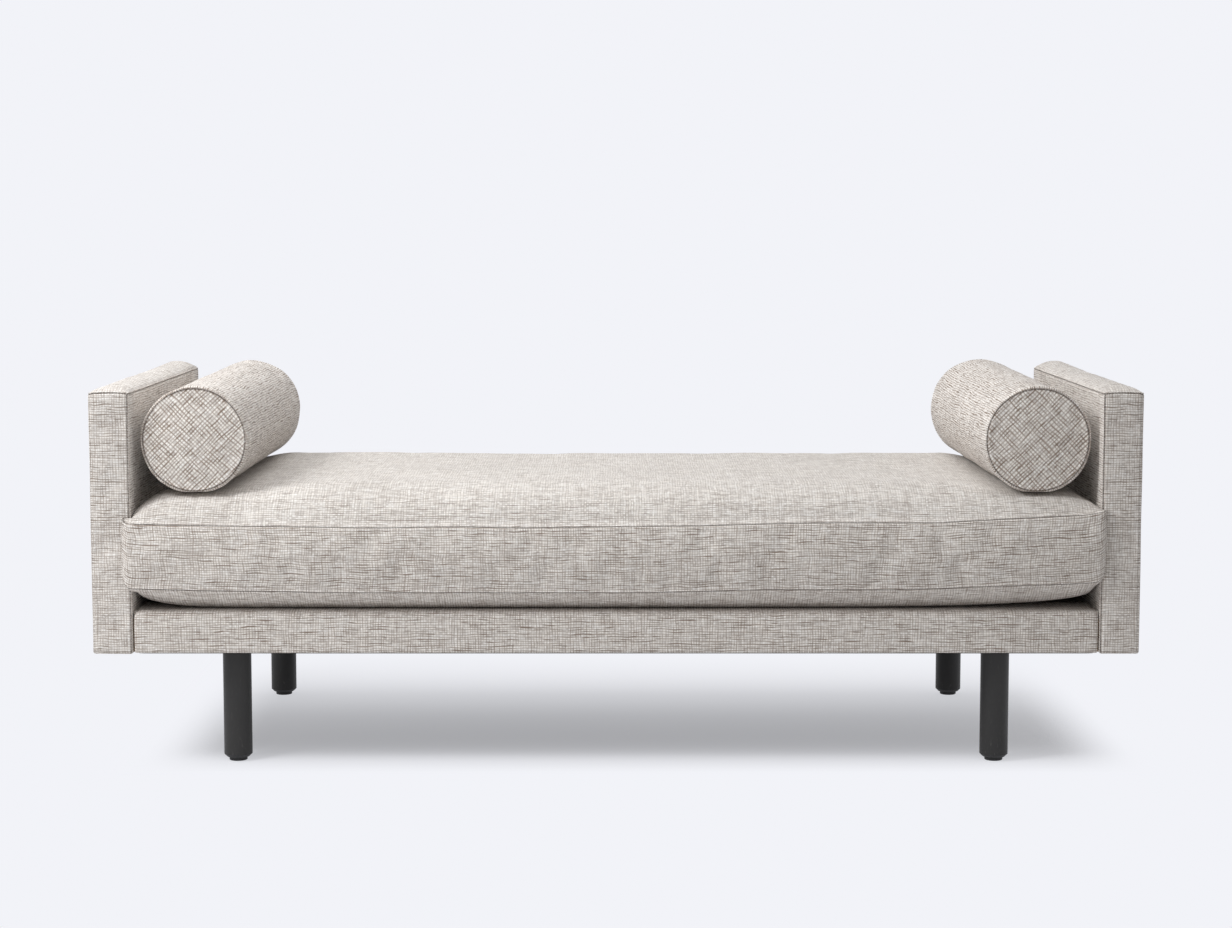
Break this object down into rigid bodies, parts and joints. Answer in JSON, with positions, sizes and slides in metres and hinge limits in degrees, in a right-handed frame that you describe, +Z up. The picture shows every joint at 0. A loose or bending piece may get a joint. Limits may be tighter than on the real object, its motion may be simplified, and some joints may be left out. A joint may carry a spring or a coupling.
{
  "type": "backless divan",
  "caption": "Backless divan: sprung base between two low upholstered arms, on round legs, with a loose seat cushion and a loose round bolster at each end.",
  "frame": {"origin": "on the floor, under the middle of the divan's box", "axes": "+X along the divan to its right end as seen from the front, +Y from front to back, +Z up"},
  "size_m": [1.83, 0.78, 0.6732],
  "materials": {
    "tweed": "matte",
    "foam": "matte",
    "timber": "matte",
    "hardboard": "matte",
    "leg_paint": "satin",
    "spring_steel": "satin",
    "zinc_steel": "satin",
    "glide_plastic": "matte",
    "felt": "matte",
    "lining": "matte",
    "dust_cloth": "matte",
    "zip_tape": "matte",
    "zip_metal": "satin"
  },
  "bodies": {
    "frame": {"arm_bolts": "zinc_steel", "arm_tee_nuts": "zinc_steel", "base_cover": "tweed", "centre_cross_rail": "timber", "corner_blocks": "timber", "deck_cloth": "lining", "deck_pad": "foam", "dust_cover": "dust_cloth", "frame_screws": "zinc_steel", "front_left_leg": "leg_paint", "front_rail": "timber", "front_right_leg": "leg_paint", "left_arm_cover": "tweed", "left_arm_inner_panel": "hardboard", "left_arm_outer_panel": "hardboard", "left_arm_padding": "foam", "left_arm_posts": "timber", "left_arm_rails": "timber", "left_end_rail": "timber", "left_leg_bearer": "timber", "leg_bottom_plugs": "glide_plastic", "leg_inserts": "zinc_steel", "leg_studs": "zinc_steel", "leg_tee_nuts": "zinc_steel", "leg_top_plugs": "leg_paint", "rail_padding": "foam", "rear_left_leg": "leg_paint", "rear_rail": "timber", "rear_right_leg": "leg_paint", "right_arm_cover": "tweed", "right_arm_inner_panel": "hardboard", "right_arm_outer_panel": "hardboard", "right_arm_padding": "foam", "right_arm_posts": "timber", "right_arm_rails": "timber", "right_end_rail": "timber", "right_leg_bearer": "timber", "seat_springs": "spring_steel", "spring_clips": "zinc_steel", "spring_insulator": "felt"},
    "seat_cushion": {"seat_cushion_core": "foam", "seat_cushion_cover": "tweed", "seat_zip_chain": "zip_tape"},
    "seat_zip_slider": {"seat_zip_slider": "zip_metal"},
    "left_bolster": {"left_bolster_core": "foam", "left_bolster_cover": "tweed", "left_bolster_zip_chain": "zip_tape"},
    "left_bolster_zip_slider": {"left_bolster_zip_slider": "zip_metal"},
    "right_bolster": {"right_bolster_core": "foam", "right_bolster_cover": "tweed", "right_bolster_zip_chain": "zip_tape"},
    "right_bolster_zip_slider": {"right_bolster_zip_slider": "zip_metal"},
    "front_left_foot": {"front_left_foot_pad": "glide_plastic"},
    "front_left_stem": {"front_left_foot_stem": "zinc_steel"},
    "front_right_foot": {"front_right_foot_pad": "glide_plastic"},
    "front_right_stem": {"front_right_foot_stem": "zinc_steel"},
    "rear_left_foot": {"rear_left_foot_pad": "glide_plastic"},
    "rear_left_stem": {"rear_left_foot_stem": "zinc_steel"},
    "rear_right_foot": {"rear_right_foot_pad": "glide_plastic"},
    "rear_right_stem": {"rear_right_foot_stem": "zinc_steel"}
  },
  "joints": [
    {"name": "seat_cushion_lift", "type": "slide", "parent": "frame", "child": "seat_cushion", "axis": [0, 0, 1], "range_m": [0, 0.42]},
    {"name": "seat_zip_slide", "type": "slide", "parent": "seat_cushion", "child": "seat_zip_slider", "axis": [1, 0, 0], "range_m": [0, 1.022]},
    {"name": "left_bolster_lift", "type": "slide", "parent": "seat_cushion", "child": "left_bolster", "axis": [0, 0, 1], "range_m": [0, 0.25]},
    {"name": "left_bolster_zip_slide", "type": "slide", "parent": "left_bolster", "child": "left_bolster_zip_slider", "axis": [0, 1, 0], "range_m": [0, 0.552]},
    {"name": "right_bolster_lift", "type": "slide", "parent": "seat_cushion", "child": "right_bolster", "axis": [0, 0, 1], "range_m": [0, 0.25]},
    {"name": "right_bolster_zip_slide", "type": "slide", "parent": "right_bolster", "child": "right_bolster_zip_slider", "axis": [0, 1, 0], "range_m": [0, 0.552]},
    {"name": "front_left_foot_travel", "type": "slide", "parent": "frame", "child": "front_left_foot", "axis": [0, 0, -1], "range_m": [0, 0.01]},
    {"name": "front_left_stem_turn", "type": "hinge", "parent": "front_left_foot", "child": "front_left_stem", "pos_m": [-0.672, -0.31, 0.02], "axis": [0, 0, -1], "range_deg": [0, 2880]},
    {"name": "front_right_foot_travel", "type": "slide", "parent": "frame", "child": "front_right_foot", "axis": [0, 0, -1], "range_m": [0, 0.01]},
    {"name": "front_right_stem_turn", "type": "hinge", "parent": "front_right_foot", "child": "front_right_stem", "pos_m": [0.672, -0.31, 0.02], "axis": [0, 0, -1], "range_deg": [0, 2880]},
    {"name": "rear_left_foot_travel", "type": "slide", "parent": "frame", "child": "rear_left_foot", "axis": [0, 0, -1], "range_m": [0, 0.01]},
    {"name": "rear_left_stem_turn", "type": "hinge", "parent": "rear_left_foot", "child": "rear_left_stem", "pos_m": [-0.672, 0.31, 0.02], "axis": [0, 0, -1], "range_deg": [0, 2880]},
    {"name": "rear_right_foot_travel", "type": "slide", "parent": "frame", "child": "rear_right_foot", "axis": [0, 0, -1], "range_m": [0, 0.01]},
    {"name": "rear_right_stem_turn", "type": "hinge", "parent": "rear_right_foot", "child": "rear_right_stem", "pos_m": [0.672, 0.31, 0.02], "axis": [0, 0, -1], "range_deg": [0, 2880]}
  ],
  "couplings": [
    {"joint": "front_left_stem_turn", "follows": "front_left_foot_travel", "rad_per_m": 5026.5},
    {"joint": "front_right_stem_turn", "follows": "front_right_foot_travel", "rad_per_m": 5026.5},
    {"joint": "rear_left_stem_turn", "follows": "rear_left_foot_travel", "rad_per_m": 5026.5},
    {"joint": "rear_right_stem_turn", "follows": "rear_right_foot_travel", "rad_per_m": 5026.5}
  ]
}
